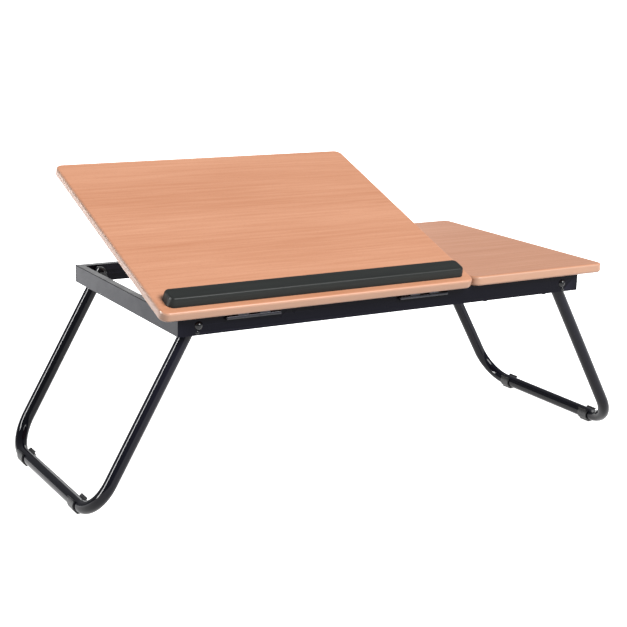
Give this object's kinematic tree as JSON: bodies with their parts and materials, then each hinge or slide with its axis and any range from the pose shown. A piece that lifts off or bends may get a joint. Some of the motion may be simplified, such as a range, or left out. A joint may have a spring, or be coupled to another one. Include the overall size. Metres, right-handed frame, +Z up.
{
  "type": "folding tray table",
  "caption": "Low folding tray table with a tilting wood panel on a wire prop, a fixed side panel and U-shaped tube legs that fold under a steel frame.",
  "frame": {"origin": "on the floor, under the middle of the table's bounding box", "axes": "+X to the right along the table's length, +Y to the back, away from the user, +Z up"},
  "size_m": [0.7404, 0.3406, 0.3456],
  "materials": {
    "beech_laminate": "satin beech laminate",
    "dark_wood": "charcoal paint, satin",
    "black_steel": "gloss black paint",
    "black_fittings": "black zinc, semi-gloss",
    "hinge_steel": "dark nickel, polished by use",
    "black_plastic": "moulded, slightly grained",
    "bumper_rubber": "matte"
  },
  "bodies": {
    "frame": {"front_rail": "black_steel", "back_rail": "black_steel", "left_rail": "black_steel", "right_rail": "black_steel", "seam_strap": "black_steel", "prop_strap_left": "black_steel", "prop_strap_right": "black_steel", "prop_saddle_left": "black_plastic", "prop_saddle_right": "black_plastic", "hinge_frame_leaf_left": "hinge_steel", "hinge_frame_leaf_right": "hinge_steel", "hinge_pin_left": "hinge_steel", "hinge_pin_right": "hinge_steel", "hinge_rivets": "hinge_steel", "fixed_panel": "beech_laminate", "fixed_panel_screws": "black_fittings", "seam_strap_screws": "black_fittings", "panel_bumpers": "bumper_rubber", "pivot_bolts": "black_fittings", "pivot_washers": "black_fittings", "pivot_nuts": "black_fittings", "detent_rivets": "black_fittings"},
    "tilting_top": {"tilting_panel": "beech_laminate", "stop_bar": "dark_wood", "stop_bar_screws": "black_fittings", "hinge_panel_leaf_left": "hinge_steel", "hinge_panel_leaf_right": "hinge_steel", "hinge_leaf_screws": "hinge_steel", "rack_left": "black_plastic", "rack_right": "black_plastic", "rack_screws": "black_fittings"},
    "prop": {"prop_wire": "black_steel"},
    "left_leg": {"left_leg_tube": "black_steel", "left_leg_plugs": "black_plastic", "left_front_foot": "black_plastic", "left_back_foot": "black_plastic"},
    "right_leg": {"right_leg_tube": "black_steel", "right_leg_plugs": "black_plastic", "right_front_foot": "black_plastic", "right_back_foot": "black_plastic"}
  },
  "joints": [
    {"name": "tilt_hinge", "type": "hinge", "parent": "frame", "child": "tilting_top", "pos_m": [0, -0.16007, 0.21742], "axis": [1, 0, 0], "range_deg": [-20, 15]},
    {"name": "prop_pivot", "type": "hinge", "parent": "frame", "child": "prop", "pos_m": [-0.119, -0.06008, 0.21602], "axis": [1, 0, 0], "range_deg": [-40.5, 30.5]},
    {"name": "left_leg_fold", "type": "hinge", "parent": "frame", "child": "left_leg", "pos_m": [-0.2468, -0.00717, 0.21152], "axis": [0, -1, 0], "range_deg": [0, 118.3]},
    {"name": "right_leg_fold", "type": "hinge", "parent": "frame", "child": "right_leg", "pos_m": [0.2468, -0.00717, 0.21152], "axis": [0, 1, 0], "range_deg": [0, 118.3]}
  ],
  "couplings": [
    {"joint": "prop_pivot", "follows": "tilt_hinge", "ratio": 2}
  ]
}
